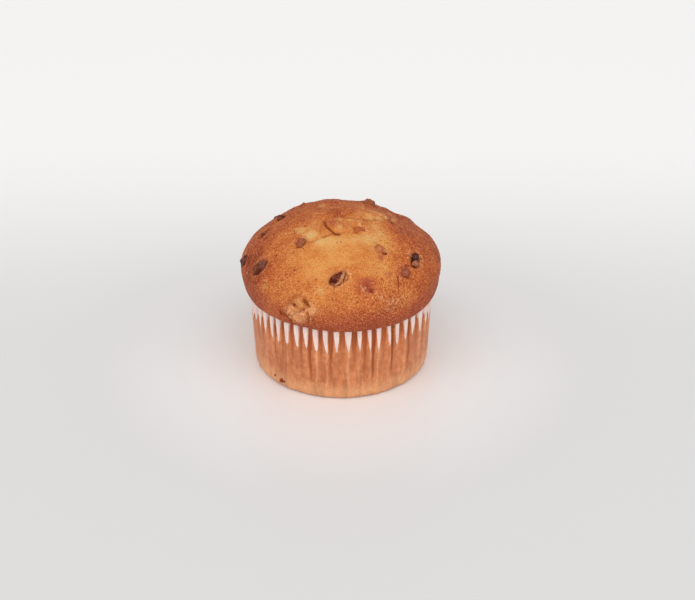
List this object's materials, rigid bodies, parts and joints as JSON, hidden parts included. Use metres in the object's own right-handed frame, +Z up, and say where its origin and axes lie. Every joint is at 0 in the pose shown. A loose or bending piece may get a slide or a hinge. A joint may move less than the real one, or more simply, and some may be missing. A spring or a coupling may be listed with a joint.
{
  "type": "muffin",
  "caption": "Domed nut muffin with a golden-brown crust, standing in its pleated paper baking case.",
  "frame": {"origin": "centre of the paper case's flat underside", "axes": "+Z up through the middle of the crown, -Y towards the front"},
  "size_m": [0.082, 0.082, 0.0669],
  "materials": {
    "crust": "soft, finely grained, slightly moist",
    "paper": "thin paper, translucent where greasy",
    "nut": "rough, oily sheen"
  },
  "bodies": {
    "root": {"cake": "crust", "paper_case": "paper", "nut_01": "nut", "nut_02": "nut", "nut_03": "nut", "nut_04": "nut", "nut_05": "nut", "nut_06": "nut", "nut_07": "nut", "nut_08": "nut", "nut_09": "nut", "nut_10": "nut", "nut_11": "nut", "nut_12": "nut", "nut_13": "nut", "nut_14": "nut", "nut_15": "nut", "nut_16": "nut", "nut_17": "nut", "nut_18": "nut", "nut_19": "nut"}
  },
  "joints": []
}
